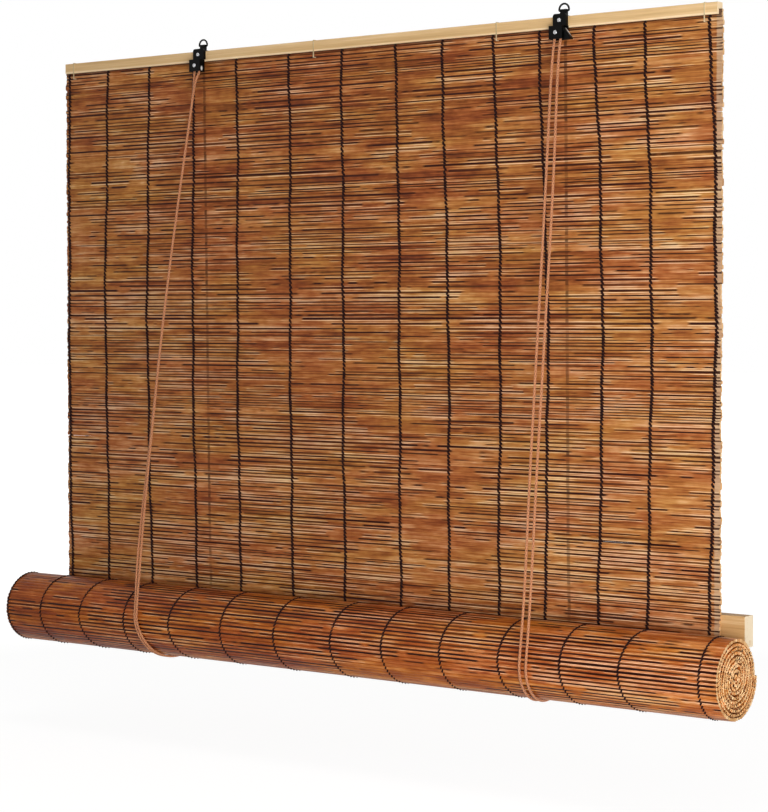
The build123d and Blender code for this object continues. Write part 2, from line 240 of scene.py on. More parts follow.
# Painted highlights along the skin beside the painted crevice shade.
highlight_rises, highlight_gain, highlight_shift = (-0.33, 0.14), -7.0, 1.2
sheen_stretch, sheen_detail, sheen_gain, sheen_shift = (7.0, 5.9, 1.0), 2.0, 5.0, -2.0
highlight_beside_shade_share = 0.7
skin_stretch = (19.0, 3.7, 1.0)
cloud_stretch = (9.0, 30.0, 30.0)
streak_stretch, streak_detail = (42.0, 620.0, 620.0), 2.0
blotch_stretch, blotch_gain, blotch_shift = (6.0, 26.0, 26.0), 4.0, -1.35
tone_weight, skin_weight, cloud_weight, streak_weight, highlight_weight = 0.22, 0.8, 0.42, 0.55, 0.55
bare_gain, bare_share, bare_reach = 700.0, 0.6, 0.0035
rail_shade_gain, rail_shade_shift, rail_shade_share = 600.0, 9.6, 0.8
streak_gloss, highlight_gloss, gloss_shift = 0.35, -0.1, -0.17
reed_specular = 0.15
reed_relief = (0.3, 0.0003)
# Painted light: the sheet is painted darker towards the top and lighter towards its ends.
sheet_roughness, sheet_painted_light, sheet_shift = 0.5, (0.0, 0.17, -0.15), -0.64
straw_stretch = (300.0, 1500.0, 1500.0)
fibre_weight, straw_tone_weight, straw_shift = 0.6, 0.45, -0.02
straw_roughness = 0.75
straw_relief = (0.4, 0.0004)


def take_mesh(made):
    """Shades a finished mesh by angle, and leaves nothing selected."""
    bpy.ops.object.select_all(action="DESELECT")
    bpy.context.view_layer.objects.active = made
    made.select_set(True)
    bpy.ops.object.shade_smooth_by_angle(angle=radians(smooth_angle))
    made.select_set(False)
    return made


def new_piece(name, points, faces, materials):
    mesh = bpy.data.meshes.new(name)
    mesh.from_pydata(points, [], faces)
    for material in materials:
        mesh.materials.append(material)
    made = bpy.data.objects.new(name, mesh)
    bpy.context.scene.collection.objects.link(made)
    return made


def model_stalk(cuts):
    """One stalk along X, of length and radius 1, with hollow ends: points, faces and finish numbers."""
    bpy.ops.object.select_all(action="DESELECT")
    bpy.ops.mesh.primitive_cylinder_add(vertices=stalk_sides, radius=1, depth=1,
                                        rotation=(0, pi / 2, 0))
    stalk = bpy.context.object
    bpy.ops.object.transform_apply(rotation=True)
    bpy.ops.object.mode_set(mode="EDIT")
    bpy.ops.mesh.select_mode(type="EDGE")
    shape = bmesh.from_edit_mesh(stalk.data)
    for edge in shape.edges:
        edge.select = abs(edge.verts[0].co.x - edge.verts[1].co.x) > 0.5
    bmesh.update_edit_mesh(stalk.data)
    if cuts:
        bpy.ops.mesh.subdivide(number_cuts=cuts)
    bpy.ops.mesh.select_mode(type="FACE")
    shape = bmesh.from_edit_mesh(stalk.data)
    for face in shape.faces:
        face.select = abs(face.normal.x) > 0.5
    bmesh.update_edit_mesh(stalk.data)
    bpy.ops.mesh.inset(thickness=1 - hollow_share, use_individual=True)
    bpy.ops.transform.resize(value=(hollow_sink_share, 1, 1), center_override=(0, 0, 0))
    bpy.ops.object.mode_set(mode="OBJECT")
    points = np.array([vertex.co for vertex in stalk.data.vertices])
    faces = [tuple(face.vertices) for face in stalk.data.polygons]
    ends = np.array([abs(face.normal.x) > 0.5 for face in stalk.data.polygons])
    bores = np.array([len(face.vertices) == stalk_sides for face in stalk.data.polygons])
    bpy.data.objects.remove(stalk)
    return points, faces, ends * 1 + bores * 1


def lay_stalks(name, stalk, places, left, right, centres, ways, widths, depths, sway, materials):
    """Copies of a stalk along X, each with its own ends, place, way along the mat, thickness and tone."""
    points, faces, finishes = stalk
    count = len(centres)
    share = np.interp(points[:, 0] + 0.5, np.linspace(0, 1, len(places)), places)
    phases = draw.uniform(0, tau, (3, count, 1))
    girth = 1 + draw.uniform(-taper_share, taper_share, (count, 1)) * (share - 0.5)
    girth = girth * (1 + swell_share * np.sin(tau * swell_waves * share + phases[0]))
    if len(places) > 2:
        girth = girth * np.interp(share, (0, places[1], places[-2], 1), (tip_share, 1, 1, tip_share))
    along = left[:, None] + (right - left)[:, None] * share
    lift = sway * (np.sin(tau * long_sway * share + phases[1])
                   + short_sway_share * np.sin(tau * short_sway * share + phases[2]))
    outward = np.stack((ways[:, 1], -ways[:, 0]), axis=1)
    over = np.sign(points[:, 1]) * np.abs(points[:, 1]) ** flat_power * depths[:, None] * girth
    down = points[:, 2] * widths[:, None] * girth + lift
    spots = centres[:, None] + over[:, :, None] * outward[:, None] + down[:, :, None] * ways[:, None]
    spots = np.concatenate((along[:, :, None], spots), axis=2).reshape(-1, 3)
    whole = [tuple(corner + copy * len(points) for corner in face)
             for copy in range(count) for face in faces]
    made = new_piece(name, spots.tolist(), whole, materials)
    made.data.polygons.foreach_set("material_index", np.tile(finishes, count).astype(np.int32))
    numbers = np.repeat(np.arange(count, dtype=float), len(points))
    tones = np.repeat(draw.uniform(0, 1, count), len(points))
    facts = np.stack((along.reshape(-1), numbers, tones), axis=1)
    made.data.attributes.new("stalk", "FLOAT_VECTOR", "POINT").data.foreach_set("vector", facts.ravel())
    rises = np.tile(points[:, 2], count)
    made.data.attributes.new("rise", "FLOAT", "POINT").data.foreach_set("value", rises)
    return take_mesh(made)


def attribute(material, name, output):
    return put(material, "ShaderNodeAttribute", {}, attribute_name=name).outputs[output]


def times(material, first, *others):
    """The product of several values."""
    for other in others:
        first = calc(material, "MULTIPLY", first, other)
    return first


def mix(material, share, first, second):
    """Two colours mixed, with this share of the second."""
    inputs = {0: share, 6: first, 7: second}
    return put(material, "ShaderNodeMix", inputs, data_type="RGBA").outputs[2]


def grid_place(material, along, number):
    """A flat place made of the length along a stalk and the number of a row."""
    return put(material, "ShaderNodeCombineXYZ", {0: along, 1: number}).outputs[0]


def reed_finish(name, yellow_tones, red_tones, roughness, painted_light, shift, marks, bare_end):
    """Smoked reed: clouds of gold and russet over several stalks, with fine streaks along each one.

    Painted shade darkens the crevice between two stalks in stretches that end sharply, and a painted
    highlight runs along the skin next to it. The painted light weighs the place along X, the distance
    from the middle and the height, to paint the mat lighter and darker where the lamps would. Each mark
    is a line of painted shade down the mat along a rear cord behind it, as its X at the rail and its
    slope. Past the bare end the skin is grey.
    """
    material, shader = new_finish(name, roughness)
    along, number, tone = split(material, attribute(material, "stalk", "Vector"))
    rise = attribute(material, "rise", "Fac")
    place = object_place(material)
    across, _, height = split(material, place)

    # Painted shade: dark runs along the crevice between two stalks.
    lower = calc(material, "LESS_THAN", rise, 0.0)
    crevice = grid_place(material, along, calc(material, "ADD", number, lower))
    run = noise(material, crevice, run_stretch, run_detail)
    crowd = noise(material, place, crowd_stretch, 1.0)
    crowded = weigh(material, ((run, 1.0), (crowd, crowd_weight)), 0.0)
    shaded_run = limited(material, crowded, crevice_shade_gain, crevice_shade_shift)
    shade_depth_noise = limited(material, noise(material, crevice, shade_depth_stretch, 1.0), shade_depth_gain, shade_depth_shift)
    shade_depth = weigh(material, ((shade_depth_noise, shade_depth_share),), 1 - shade_depth_share)
    upper_edge = limited(material, rise, edge_gain, upper_edge_shift)
    lower_edge = limited(material, rise, -edge_gain, lower_edge_shift)
    edges = calc(material, "ADD", upper_edge, lower_edge)
    dark = times(material, shaded_run, edges, shade_depth)

    # Painted highlight: pale bands along the skin beside the painted shade.
    lines = []
    for level in highlight_rises:
        off = calc(material, "ABSOLUTE", calc(material, "SUBTRACT", rise, level))
        lines.append(limited(material, off, highlight_gain, highlight_shift))
    sheen = limited(material, noise(material, crevice, sheen_stretch, sheen_detail), sheen_gain, sheen_shift)
    beside_shade = weigh(material, ((shaded_run, highlight_beside_shade_share),), 1 - highlight_beside_shade_share)
    highlight = times(material, calc(material, "MAXIMUM", *lines), times(material, sheen, beside_shade))

    skin = noise(material, grid_place(material, along, number), skin_stretch)
    clouds = noise(material, place, cloud_stretch)
    streaks = noise(material, place, streak_stretch, streak_detail)
    # Painted light: lighter and darker across the mat where the lamps would light it.
    lit_parts = zip((across, calc(material, "ABSOLUTE", across), height), painted_light)
    parts = ((tone, tone_weight), (skin, skin_weight), (clouds, cloud_weight),
             (streaks, streak_weight), (highlight, highlight_weight), *lit_parts)
    value = weigh(material, parts, shift)
    blotch = limited(material, noise(material, place, blotch_stretch), blotch_gain, blotch_shift)
    mixed = mix(material, blotch, ramp(material, value, yellow_tones), ramp(material, value, red_tones))

    # Each mark is painted shade along a rear cord behind the mat.
    for start, slope in marks:
        off = calc(material, "ABSOLUTE", weigh(material, ((across, 1.0), (height, -slope)), -start))
        cord_shaded = times(material, limited(material, off, cord_shade_gain, cord_shade_shift),
                       limited(material, skin, cord_shade_skin_gain, cord_shade_skin_shift))
        dark = calc(material, "MAXIMUM", dark, times(material, cord_shaded, cord_shade_share))
    bare = times(material, limited(material, along, bare_gain, -bare_gain * bare_end), bare_share)
    mixed = mix(material, bare, mixed, colour(bare_tone))
    if marks:  # Only the hanging part, which has the marks, also has the rail's shade on it.
        shaded = limited(material, height, rail_shade_gain, rail_shade_shift)
        dark = calc(material, "MAXIMUM", dark, times(material, shaded, rail_shade_share))
    join(material, mix(material, dark, mixed, colour(painted_shade_tone)), shader.inputs["Base Color"])

    gloss = weigh(material, ((streaks, streak_gloss), (highlight, highlight_gloss)), roughness + gloss_shift)
    join(material, gloss, shader.inputs["Roughness"])
    shader.inputs["Specular IOR Level"].default_value = reed_specular
    raise_surface(material, shader, streaks, *reed_relief)
    return material


def straw_finish(name, tones):
    """The pale inside of a reed, where it is cut."""
    material, shader = new_finish(name, straw_roughness)
    fibre = noise(material, object_place(material), straw_stretch)
    _, _, tone = split(material, attribute(material, "stalk", "Vector"))
    value = weigh(material, ((fibre, fibre_weight), (tone, straw_tone_weight)), straw_shift)
    join(material, ramp(material, value, tones), shader.inputs["Base Color"])
    raise_surface(material, shader, fibre, *straw_relief)
    return material


straw = straw_finish("cut_straw", straw_tones)
hollow = straw_finish("reed_hollow", hollow_tones)
sheet_reed = reed_finish("smoked_reed", ochre_tones, russet_tones, sheet_roughness, sheet_painted_light,
                         sheet_shift, rear_cord_shade_lines, mat_high.x - bare_reach)


def set_back(z):
    """How far the lowest reeds stand behind the rest, where the roll presses on them."""
    return np.interp(z - mat_low.z, set_back_heights, (set_back_size, 0))


long_stalk = model_stalk(stalk_cuts)
thickness = np.exp(uneven_share * draw.normal(size=reed_count).clip(-uneven_limit, uneven_limit))
thickness *= (mat_high.z - mat_low.z) / thickness.sum()
slits = draw.uniform(0, 1, reed_count) < slit_share
reed_heights = thickness / 2 * np.where(slits, 1.0, reed_overlap)
reed_z = mat_high.z - np.cumsum(thickness) + thickness / 2
reed_y = draw.uniform(-depth_jitter, depth_jitter, reed_count) + set_back(reed_z)
reed_mat = lay_stalks("reed_mat", long_stalk, long_places,
                      mat_low.x - left_reach + draw.uniform(0, 1, reed_count) * end_jitter,
                      mat_high.x + right_reach - draw.uniform(0, 1, reed_count) * end_jitter,
                      np.stack((reed_y, reed_z), axis=1), np.tile((0.0, 1.0), (reed_count, 1)),
                      reed_heights, np.full(reed_count, reed_depth), sway_size,
                      [sheet_reed, straw, hollow])
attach(reed_mat, "head")
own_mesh(reed_mat)
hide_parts("reed_sheet")

# Binding strings of the hanging part. Two black threads are twined from reed to reed, each in front of
# one stalk and behind the next, so that they show as a chain of slanted stitches.
string_shares = (-0.490, -0.428, -0.347, -0.267, -0.194, -0.107, -0.022,
                 0.064, 0.139, 0.217, 0.277, 0.351, 0.416, 0.492)
string_bend_z = (-0.03, -0.17, -0.33, -0.49, -0.64)
string_bends = ((-6, -7, -8, -7.5, -5), (4, 1, -3, 1, 3), (-2, -4, -7, -4, 0),
                (-2, -4.5, -6, -4, 0), (-2, -1, -2, -1, 3), (-3, -0.5, -1.5, 0, 2.5),
                (-4, -2, -1, -1, 1.5), (-7, -2, -0.5, 0.5, 1.5),
                (-12.5, -7.5, -2.5, -1, -1.5), (-17, -9, -5, -5.5, -7), (-11.5, -6, 1.5, 1, -1),
                (-11, -3, 1, 1, -3), (-10, -3, 1, 0, -3), (-3, 4, 6, 4, 0))
thread_radius = 0.00155
thread_sides = 5
twine_width = 0.0014
twine_steps = 4
thread_clearance = 0.0005
thread_front = reed_depth + thread_clearance
thread_back = 0.0013
string_wander = 0.0008
long_wander, short_wander, short_wander_share = 31, 83, 0.6
thread_tones = ((0.2, "120506"), (0.6, "240F0E"), (0.9, "44261E"))
thread_ply, thread_plies = 0.0022, 2
thread_roughness, thread_specular = 0.7, 0.1
thread_fuzz = (900.0, 900.0, 900.0)
thread_crest_weight, thread_fuzz_weight, thread_shift = 0.6, 0.5, -0.05
thread_relief = (0.6, 0.0004)


def wind_tubes(name, lines, radius, sides, across, materials):
    """Round strands along lines of points, with length and turn along each strand kept on the corners."""
    points, faces, facts = [], [], []
    turns = tau * np.arange(sides) / sides
    cosines, sines = np.cos(turns)[None, :, None], np.sin(turns)[None, :, None]
    across = np.asarray(across, float)
    for number, line in enumerate(lines):
        line = np.asarray(line, float)
        ahead = np.gradient(line, axis=0)
        ahead /= np.linalg.norm(ahead, axis=1)[:, None]
        first = across - ahead * (ahead @ across)[:, None]
        first /= np.linalg.norm(first, axis=1)[:, None]
        second = np.cross(ahead, first)
        length = np.concatenate(((0,), np.cumsum(np.linalg.norm(np.diff(line, axis=0), axis=1))))
        ring = cosines * first[:, None] + sines * second[:, None]
        base = len(points)
        points.extend((line[:, None] + radius * ring).reshape(-1, 3).tolist())
        for step in range(len(line) - 1):
            low, high = base + step * sides, base + (step + 1) * sides
            for side in range(sides):
                follow = (side + 1) % sides
                faces.append((low + side, low + follow, high + follow, high + side))
                for at, turn in ((step, side), (step, side + 1), (step + 1, side + 1), (step + 1, side)):
                    facts.append((length[at], turn / sides, number))
        last = base + (len(line) - 1) * sides
        faces.append(tuple(range(base + sides - 1, base - 1, -1)))
        faces.append(tuple(range(last, last + sides)))
        facts.extend([(0, 0, number)] * sides + [(length[-1], 0, number)] * sides)
    made = new_piece(name, points, faces, materials)
    strand = made.data.attributes.new("strand", "FLOAT_VECTOR", "CORNER")
    strand.data.foreach_set("vector", np.array(facts).ravel())
    return take_mesh(made)


def thread_finish(name, tones):
    """Twisted thread, whose plies wind round it once in each length of ply."""
    material, shader = new_finish(name, thread_roughness)
    along, turn, _ = split(material, attribute(material, "strand", "Vector"))
    around = times(material, turn, thread_plies * tau)
    wave = calc(material, "MULTIPLY_ADD", along, tau / thread_ply, around)
    crest = weigh(material, ((calc(material, "SINE", wave), 0.5),), 0.5)
    fuzz = noise(material, object_place(material), thread_fuzz)
    value = weigh(material, ((crest, thread_crest_weight), (fuzz, thread_fuzz_weight)), thread_shift)
    join(material, ramp(material, value, tones), shader.inputs["Base Color"])
    shader.inputs["Specular IOR Level"].default_value = thread_specular
    raise_surface(material, shader, crest, *thread_relief)
    return material


def twine(steps, base, outward, front, back, width):
    """Two threads that change sides at each reed, along base points with a way out at each."""
    threads = []
    for hand in (-1, 1):
        swing = hand * np.cos(pi * steps)
        reach = np.where(swing > 0, front, back) * swing
        aside = np.zeros_like(base)
        aside[:, 0] = hand * np.sin(pi * steps) * width
        threads.append(base + outward * reach[:, None] + aside)
    return threads


thread = thread_finish("black_thread", thread_tones)
first_bound, last_bound = 1, reed_count - 2
steps = np.arange(first_bound * twine_steps, last_bound * twine_steps + 1) / twine_steps
string_lines = []
for place, bends in zip(string_shares, string_bends):
    phase = draw.uniform(0, tau, 2)
    z = np.interp(steps, np.arange(reed_count), reed_z)
    wander = string_wander * (np.sin(z * long_wander + phase[0])
                              + short_wander_share * np.sin(z * short_wander + phase[1]))
    bent = np.interp(-z, np.negative(string_bend_z), bends) / 1000
    x = place * (mat_high.x - mat_low.x) + bent + wander
    base = np.stack((x, set_back(z), z), axis=1)
    outward = np.tile((0.0, -1.0, 0.0), (len(z), 1))
    string_lines.extend(twine(steps, base, outward, thread_front, thread_back, twine_width))
mat_strings = wind_tubes("mat_strings", string_lines, thread_radius, thread_sides, (1, 0, 0), [thread])
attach(mat_strings, "head")
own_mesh(mat_strings)
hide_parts("sheet_strings")

# Wound part of the mat. The same stalks go round eight times, from the back of the roll under it to its
# front, with the inner turns pressed a little oval. The cut ends show as a spiral of pale straw.
roll_low, roll_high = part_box("reed_roll")
roll_radius = 0.0425
turn_pitch = 0.0046
roll_pitch = 0.0044
round_share = 0.72
innermost = 0.0014
oval_share, oval_start = 0.2, 0.2
roll_waves, roll_wave_rate = 0.0005, 3.3
oval_way = np.array((0.77, 0.64))
outer_width, outer_depth = 0.0028, 0.0021
inner_width, inner_depth = 0.0040, 0.0017
roll_end_jitter = 0.0005
girth_range = (0.92, 1.08)
roll_sway = 0.00015
small_angle = 0.01
# Painted light: the roll is painted lighter towards its right end.
roll_roughness, roll_painted_light, roll_shift = 0.4, (0.2, 0.0, 0.0), -0.57
golden_tones = ((0.05, "5C240A"), (0.3, "944A14"), (0.5, "BA6A20"), (0.7, "D88C3C"), (0.95, "F8C890"))
copper_tones = ((0.05, "50180A"), (0.3, "883A14"), (0.5, "AE5824"), (0.7, "D4844C"), (0.95, "F6BE96"))
hinge = next(joint for joint in frame["joints"] if joint["name"] == "roll_turn")
roll_axis = np.array(hinge["pos_m"][1:])


def wound_place(angle, last_angle):
    """Y and Z on the winding: each turn is round, then drops under the start of the one before."""
    turns, part = np.divmod(angle / tau, 1)
    way = np.clip(part - round_share, 0, None) / (1 - round_share)
    radius = roll_radius - turn_pitch * (turns + (1 - np.cos(pi * way)) / 2)
    radius = radius + roll_waves * np.sin(roll_wave_rate * angle) * np.clip(angle / tau - 1, 0, 1)
    spoke = radius[:, None] * np.stack((np.cos(angle), -np.sin(angle)), axis=1)
    pressed = oval_share * np.clip(angle / last_angle - oval_start, 0, None)
    long_part = np.outer(spoke @ oval_way, oval_way)
    return roll_axis + spoke + pressed[:, None] * (2 * long_part - spoke)


angles = [roll_pitch / roll_radius / 2]
while roll_radius - turn_pitch * angles[-1] / tau > innermost:
    angles.append(angles[-1] + roll_pitch / (roll_radius - turn_pitch * angles[-1] / tau))
angles = np.array(angles)
roll_spots = wound_place(angles, angles[-1])
roll_ways = (wound_place(angles + small_angle, angles[-1])
             - wound_place(angles - small_angle, angles[-1]))
roll_ways /= np.linalg.norm(roll_ways, axis=1)[:, None]
roll_left = roll_low.x + draw.uniform(0, 1, len(angles)) * roll_end_jitter
roll_right = roll_high.x - draw.uniform(0, 1, len(angles)) * roll_end_jitter
uneven = draw.uniform(*girth_range, len(angles))
outer = angles < tau
roll_reed = reed_finish("polished_reed", golden_tones, copper_tones, roll_roughness, roll_painted_light,
                        roll_shift, (), roll_high.x)
plain_stalk = model_stalk(0)
roll_outside = lay_stalks("roll_outer_turn", long_stalk, long_places, roll_left[outer], roll_right[outer],
                          roll_spots[outer], -roll_ways[outer], outer_width * uneven[outer],
                          outer_depth * uneven[outer], roll_sway, [roll_reed, straw, hollow])
roll_inside = lay_stalks("roll_inner_turns", plain_stalk, (0.0, 1.0), roll_left[~outer], roll_right[~outer],
                         roll_spots[~outer], -roll_ways[~outer], inner_width * uneven[~outer],
                         inner_depth * uneven[~outer], 0.0, [roll_reed, straw, hollow])
for wound in (roll_outside, roll_inside):
    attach(wound, "roll")
    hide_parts("reed_roll")

# Binding strings of the roll. The same twined threads go round the outer turn, a little askew at the top,
# and are lost between it and the next one at the back.
ring_shares = (0.003, 0.060, 0.127, 0.200, 0.273, 0.353, 0.433,
               0.515, 0.587, 0.665, 0.741, 0.817, 0.888, 0.980)
ring_radius = 0.00105
ring_width = 0.0011
ring_front, ring_back = outer_depth + 0.0003, 0.0012
ring_lean, lean_power = (0.018, 0.032), 1.3
first_lean, last_lean = 0.01, 0.95
ring_wander_share, ring_wander_waves = 0.6, 2
ring_margin = 0.002
unbound_reeds = 4
ring_steps = np.arange(twine_steps, (outer.sum() - unbound_reeds) * twine_steps + 1) / twine_steps
ring_angles = np.interp(ring_steps, np.arange(len(angles)), angles)
ring_spots = wound_place(ring_angles, angles[-1])
ring_out = np.stack((np.zeros_like(ring_angles), np.cos(ring_angles), -np.sin(ring_angles)), axis=1)
ring_lines = []
for share in ring_shares:
    lean = draw.uniform(*ring_lean) * np.abs(ring_angles / pi - 1) ** lean_power
    phase = draw.uniform(0, tau)
    wander = string_wander * ring_wander_share * np.sin(ring_angles * ring_wander_waves + phase)
    lean = lean * (first_lean < share < last_lean)
    x = roll_low.x + share * (roll_high.x - roll_low.x) + lean + wander
    x = np.clip(x, roll_low.x + ring_margin, roll_high.x - ring_margin)
    base = np.concatenate((x[:, None], ring_spots), axis=1)
    ring_lines.extend(twine(ring_steps, base, ring_out, ring_front, ring_back, ring_width))
roll_rings = wind_tubes("roll_strings_twined", ring_lines, ring_radius, thread_sides, (1, 0, 0),
                        [thread])
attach(roll_rings, "roll")
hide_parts("roll_strings")

# Rear batten. A planed pine bar behind the mat, with a slot for the cords at each bracket.
# It is the same wood as the rail, a little browner.
batten_tones = ((0.2, "9C6E3E"), (0.45, "C2945C"), (0.62, "CEA36C"), (0.95, "F0DCBC"))
batten_low, batten_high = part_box("rear_batten")
coat("rear_batten", pine_finish("batten_pine", batten_tones, batten_low.z, batten_high.x))

# Rail ties. Thin pale ties, with the finish of split cane.
# Four of them go round the rail and the mat's first reeds, and bind the two together.
tie_tones = ((0.2, "B49C70"), (0.8, "D8C6A0"))
ties_low, ties_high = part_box("rail_ties")
coat("rail_ties", pine_finish("split_cane", tie_tones, ties_low.z, ties_high.x))

# Brackets: saddles, pulley covers, the lock's tongue with its rivet, and the hanging rings.
# Pressed steel and bent wire, dipped in black enamel that pools a little and is slightly dull.
# A painted highlight stands for a glint on the left cover and along the tongue's edge.
enamel_tones = ((0.2, "030303"), (0.8, "080707"))
glint_tone = "D6D5D2"
enamel_pools = (160.0, 160.0, 160.0)
enamel_grit = (1400.0, 1400.0, 1400.0)
enamel_roughness, pool_gloss, enamel_gloss = 0.38, 0.3, 0.22
enamel_specular = 0.08
enamel_relief = (0.15, 0.0002)
# Painted highlights: a pale glint on the left cover and a pale line along the tongue's edge.
glint_gain = 2.0
cover_glint = ((-0.248, -0.0111, -0.0224), (0.001, 0.0022, 0.0036))
lever_glint = ((0.3092, -0.0085, -0.0175), (0.0068, 0.0014, 0.0095))


def enamel_finish(name, glint_place, glint_reach):
    """Black enamel with a painted highlight round one place, as far as its reach on each axis."""
    material, shader = new_finish(name, enamel_roughness)
    place = object_place(material)
    pools = noise(material, place, enamel_pools)
    grit = noise(material, place, enamel_grit)
    off = put(material, "ShaderNodeVectorMath", {0: place, 1: glint_place}, operation="SUBTRACT").outputs[0]
    off = put(material, "ShaderNodeVectorMath", {0: off, 1: glint_reach}, operation="DIVIDE").outputs[0]
    away = put(material, "ShaderNodeVectorMath", {0: off}, operation="LENGTH").outputs["Value"]
    # A painted highlight, pale grey round the glint's place.
    glinted = mix(material, limited(material, away, -glint_gain, glint_gain),
                  ramp(material, pools, enamel_tones), colour(glint_tone))
    join(material, glinted, shader.inputs["Base Color"])
    join(material, weigh(material, ((pools, pool_gloss),), enamel_gloss), shader.inputs["Roughness"])
    shader.inputs["Specular IOR Level"].default_value = enamel_specular
    raise_surface(material, shader, grit, *enamel_relief)
    return material


enamel = enamel_finish("black_enamel", *cover_glint)
for node in ("left_saddle", "right_saddle", "left_pulley_cover", "right_pulley_cover", "lock_rivet",
             "left_ring", "right_ring"):
    coat(node, enamel)
coat("lock_lever", enamel_finish("enamel_with_glint", *lever_glint))

# Pulleys. Small grooved wheels moulded in dark plastic, one for the cord on each side.
# Each turns on a rivet between its saddle and its cover.
pulley_tones = ((0.2, "181818"), (0.8, "2C2B2A"))
pulley_roughness = 0.45
pulley_speckle = (900.0, 900.0, 900.0)
pulley_relief = (0.1, 0.0002)


def moulded_finish(name):
    material, shader = new_finish(name, pulley_roughness)
    speckle = noise(material, object_place(material), pulley_speckle)
    join(material, ramp(material, speckle, pulley_tones), shader.inputs["Base Color"])
    raise_surface(material, shader, speckle, *pulley_relief)
    return material


moulded = moulded_finish("moulded_plastic")
for node in ("left_pulley", "right_pulley"):
    coat(node, moulded)

# Screws and rivets. Turned steel with a bright zinc skin and faint turning marks.
# One screw holds each saddle to the rail, and one rivet carries each pulley.
zinc_tones = ((0.2, "9A9A9C"), (0.8, "D2D2D4"))
zinc_marks = (700.0, 200.0, 700.0)
zinc_roughness, mark_gloss, zinc_gloss = 0.28, 0.2, 0.16


def zinc_finish(name):
    material, shader = new_finish(name, zinc_roughness)
    shader.inputs["Metallic"].default_value = 1.0
    marks = noise(material, object_place(material), zinc_marks)
    join(material, ramp(material, marks, zinc_tones), shader.inputs["Base Color"])
    join(material, weigh(material, ((marks, mark_gloss),), zinc_gloss), shader.inputs["Roughness"])
    return material


zinc = zinc_finish("bright_zinc")
for node in ("pulley_rivets", "saddle_screws"):
    coat(node, zinc)

# Cords. A braided salmon cord on each side: from its knots on the rear ledge down behind the mat, through
# the batten and under the roll, up the front and over the pulley, with both strands side by side.
cord_diameter = 0.0028
cord_sides = 12
braid_pitch = 0.0056
braid_rounds = 4
cord_tones = ((0.15, "7A4024"), (0.5, "B86E40"), (0.85, "D89A6C"))
cord_roughness, cord_sheen = 0.7, 0.2
cord_fuzz = (700.0, 700.0, 700.0)
cord_crest_weight, cord_fuzz_weight, cord_shift = 0.55, 0.45, -0.02
cord_relief = (0.7, 0.0005)
knot_size, knot_height_share, knot_cuts = 0.00098, 1.1, 40
knot_radius, knot_rise = 0.00135, 0.0025
bracket_places = (("left", -0.257), ("right", 0.296))
half_spacing = 0.0041
pulley_y = -0.0104
pulley_z = -0.0186
bend_z = -0.0216
strand_top = -0.0275
back_y = 0.012
ledge_z = -0.015
batten_top, batten_gap = -0.6655, 0.0003
back_bends = (-0.035, -0.64)
foot_y, foot_z = -0.0887, -0.7222
front_run = {
    "left": ((-0.2570, 0.0041, 0.0, strand_top), (-0.2600, 0.0016, 0.0008, -0.038),
             (-0.2606, 0.0012, 0.0012, -0.060), (-0.2709, 0.00115, 0.0012, -0.170),
             (-0.2834, 0.0011, 0.0012, -0.330),
             (-0.2899, 0.0016, 0.0012, -0.500), (-0.2936, 0.0026, 0.0006, -0.600),
             (-0.2941, 0.0029, 0.0002, -0.660), (-0.2936, 0.0017, 0.0004, -0.695),
             (-0.2935, 0.0017, 0.0, foot_z)),
    "right": ((0.2960, 0.0041, 0.0, strand_top), (0.2938, 0.0041, 0.0, -0.040),
              (0.2982, 0.0052, 0.0, -0.190), (0.3000, 0.0048, 0.0, -0.350),
              (0.3018, 0.0046, 0.0, -0.520), (0.3042, 0.0042, 0.0, -0.640),
              (0.3043, 0.0044, 0.0, -0.700), (0.3040, 0.0045, 0.0, foot_z)),
}
bow_shares = (0.0, 0.70, 0.82, 0.90, 0.96, 1.0)
bow_sizes = (0.0, 0.0, 0.0034, 0.0047, 0.0032, 0.0003)
bow_slant = 0.78
wrap_route = ((0.0, foot_y, foot_z), (0.125, -0.0906, -0.7403), (0.375, -0.0690, -0.7696),
              (0.625, -0.0333, -0.7764), (0.875, -0.0025, -0.7570), (1.0, back_y, -0.704),
              (1.0, back_y, batten_top))


def smooth_line(points):
    """Points along the NURBS spline that has these points as its control points."""
    route = bpy.data.curves.new("route", "CURVE")
    route.dimensions = "3D"
    spline = route.splines.new("NURBS")
    spline.points.add(len(points) - 1)
    for spot, point in zip(spline.points, points):
        spot.co = (*point, 1)
    spline.order_u = 3
    spline.use_endpoint_u = True
    spline.resolution_u = 8
    holder = bpy.data.objects.new("route", route)
    mesh = bpy.data.meshes.new_from_object(holder)
    line = [tuple(vertex.co) for vertex in mesh.vertices]
    bpy.data.objects.remove(holder)
    bpy.data.curves.remove(route)
    bpy.data.meshes.remove(mesh)
    return line


def braid_finish(name, tones):
    """Braided cord: strands that wind both ways over and under each other."""
    material, shader = new_finish(name, cord_roughness)
    along, turn, _ = split(material, attribute(material, "strand", "Vector"))
    run = times(material, along, tau / braid_pitch)
    around = times(material, turn, braid_rounds * tau)
    one = calc(material, "SINE", calc(material, "ADD", run, around))
    other = calc(material, "SINE", calc(material, "SUBTRACT", run, around))
    crest = weigh(material, ((calc(material, "MAXIMUM", one, other), 0.5),), 0.5)
    fuzz = noise(material, object_place(material), cord_fuzz)
    value = weigh(material, ((crest, cord_crest_weight), (fuzz, cord_fuzz_weight)), cord_shift)
    join(material, ramp(material, value, tones), shader.inputs["Base Color"])
    shader.inputs["Sheen Weight"].default_value = cord_sheen
    raise_surface(material, shader, crest, *cord_relief)
    return material


braid = braid_finish("salmon_braid", cord_tones)


def make_strand(name, points, body, node, across):
    """One strand of cord along its route, which starts where the strand leaves the object."""
    line = smooth_line(points)
    strand = wind_tubes(name, [line], cord_diameter / 2, cord_sides, across, [braid])
    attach(strand, body)
    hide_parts(node)
    return strand


